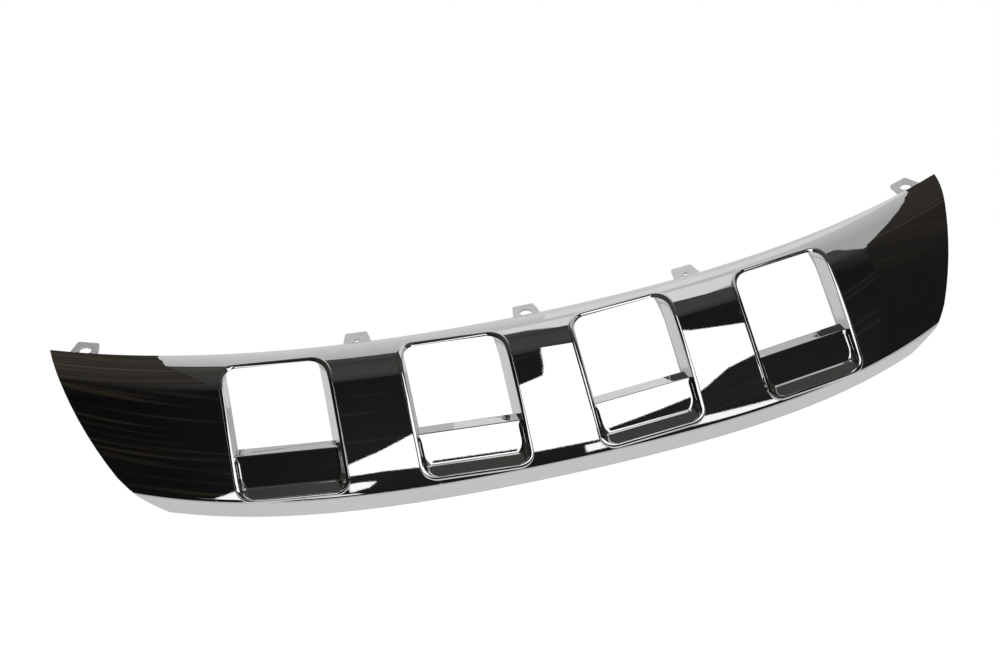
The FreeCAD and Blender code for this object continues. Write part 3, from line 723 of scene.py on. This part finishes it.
dark_room()
card("softbox", [(-14.3, 23.7), (-14.2, 25.5), (-9.6, 27.6), (-6.4, 29.4), (0.0, 33.0), (6.5, 35.2),
                 (8.9, 36.1), (9.2, 38.0), (9.4, 49.4), (12.0, 46.5), (16.0, 44.5), (20.0, 41.0),
                 (24.6, 38.9), (31.6, 37.7), (32.4, 35.0), (32.2, 31.6), (28.2, 29.8), (25.0, 26.6),
                 (20.0, 24.0), (16.0, 22.5), (12.9, 22.0), (6.0, 22.2), (0.0, 22.8), (-10.2, 23.7)],
     glow("softbox", (1.0, 1.0, 1.0), 1.25), SOFTBOX)
white = glow("strip_light", (1.0, 1.0, 1.0), 1.1)
card("strip_right", [(11.5, 20.0), (11.5, 21.3), (22, 21.6), (36, 21.0), (36, 20.0), (22, 20.2)],
     white, STRIPS)
card("strip_middle", [(-14.6, 20.5), (-14.6, 22.1), (-12.8, 22.1), (-11.4, 21.9), (-12.4, 21.0)],
     white, STRIPS)
card("foot_light", [(-28, 6), (-28, 16), (-14.5, 16), (-14.5, 6)], white, STRIPS)
card("strip_left", [(-31.5, 20.8), (-25.5, 23.6), (-24.5, 21.2), (-26.5, 20.4)], white, STRIPS)
cloth = flag_cloth()
flag("flag_left", [(-1.6, -0.3), (-0.47, -0.3), (-0.425, -0.08), (-0.405, 0.1), (-0.385, 0.24),
                   (-0.36, 0.6), (-0.34, 1.8), (-1.6, 1.8)], cloth)
flag("flag_right", [(2.2, -1.4), (1.6, -1.4), (1.0, -0.6), (0.87, -0.46), (0.775, -0.34), (0.70, -0.19),
                    (0.65, -0.06), (0.62, 0.05), (0.60, 0.16), (0.595, 0.3), (0.6, 0.5), (0.63, 1.8),
                    (2.2, 1.8)], cloth)
pale = glow("pale_ceiling", (1.0, 0.99, 0.965), 0.74)
card("ceiling_near", [(9.5, 97), (11, 89), (16, 84), (22, 78), (24, 88), (22, 108), (16, 111), (6, 112),
                      (5, 100)], pale, CEILING)
card("ceiling_far", [(10, 121), (22, 119), (24, 128), (18, 139), (10, 141)], pale, CEILING)


def seen_directly(tree):
    """1 for what the camera sees, also through glass, and the outputs of the light path node."""
    path = make_node(tree, "ShaderNodeLightPath").outputs
    return compute(tree, "MAXIMUM", path["Is Camera Ray"], path["Is Transmission Ray"]), path


def background_world():
    """White for what the camera sees, a light grey room for reflections, soft light for the rest."""
    scene.world = bpy.data.worlds.new("studio")
    tree = empty_tree(scene.world)
    seen, path = seen_directly(tree)
    direction = make_node(tree, "ShaderNodeTexCoord").outputs["Generated"]
    rearward = make_node(tree, "ShaderNodeSeparateXYZ", {0: direction}).outputs["Y"]

    def background(strength):
        values = {"Color": (1, 1, 1, 1), "Strength": strength}
        return make_node(tree, "ShaderNodeBackground", values).outputs[0]

    room = background(value_ramp(tree, rearward, -0.1, 0.85, 0.40, 0.66))
    values = {0: path["Is Glossy Ray"], 1: background(0.55), 2: room}
    mirrored = make_node(tree, "ShaderNodeMixShader", values).outputs[0]
    total = make_node(tree, "ShaderNodeMixShader", {0: seen, 1: mirrored, 2: background(1.0)}).outputs[0]
    make_node(tree, "ShaderNodeOutputWorld", {0: total})


def floor():
    """Pale floor that looks white to the camera, dims in reflections and keeps the part's shadow."""
    mat = bpy.data.materials.new("pale_floor")
    tree = empty_tree(mat)
    seen, path = seen_directly(tree)
    shine = compute(tree, "ADD", compute(tree, "MULTIPLY", path["Is Glossy Ray"], 0.2),
                    compute(tree, "MULTIPLY", seen, 0.8))
    values = {"Color": (0.975, 0.99, 1.0, 1), "Strength": shine}
    emission = make_node(tree, "ShaderNodeEmission", values).outputs[0]
    diffuse = make_node(tree, "ShaderNodeBsdfDiffuse", {"Color": (0.42, 0.42, 0.42, 1)}).outputs[0]
    total = make_node(tree, "ShaderNodeAddShader", {0: diffuse, 1: emission}).outputs[0]
    make_node(tree, "ShaderNodeOutputMaterial", {0: total})
    verts = [(x * FLOOR_HALF, y * FLOOR_HALF, FLOOR_LEVEL) for x, y in ((-1, -1), (1, -1), (1, 1), (-1, 1))]
    stage_mesh("floor", verts, [(0, 1, 2, 3)], mat)


def lamp(name, place, size, power):
    data = bpy.data.lights.new(name, "AREA")
    data.shape = "DISK"
    data.size = size
    data.energy = power
    obj = bpy.data.objects.new(name, data)
    obj.location = place
    obj.rotation_euler = (Vector((0, 0, -0.1)) - Vector(place)).to_track_quat("-Z", "Y").to_euler()
    obj.visible_glossy = False
    obj.visible_camera = False
    scene.collection.objects.link(obj)


background_world()
floor()
lamp("key", (-1.6, -2.2, 2.6), 1.6, 55)
lamp("fill", (2.4, -1.4, 1.8), 2.0, 30)
lamp("back", (0.6, 2.4, 2.2), 2.0, 35)

# ---- the camera ----

# directions in the scene of the picture's right, its down and the way that the camera looks
RIGHT = Vector((0.9691, -0.1589, -0.1885))
DOWN = Vector((-0.1985, -0.0499, -0.9788))
AHEAD = Vector((0.1462, 0.9860, -0.0800))
camera = bpy.data.objects.new("camera", bpy.data.cameras.new("camera"))
camera.data.sensor_width = 36.0
camera.data.lens = 68.4
camera.data.clip_end = 100.0
turned = Matrix((RIGHT, -DOWN, -AHEAD)).transposed()
camera.matrix_world = Matrix.Translation(Vector((-0.3418, -2.0851, 0.1533))) @ turned.to_4x4()
scene.collection.objects.link(camera)
scene.camera = camera
scene.view_settings.view_transform = "Standard"
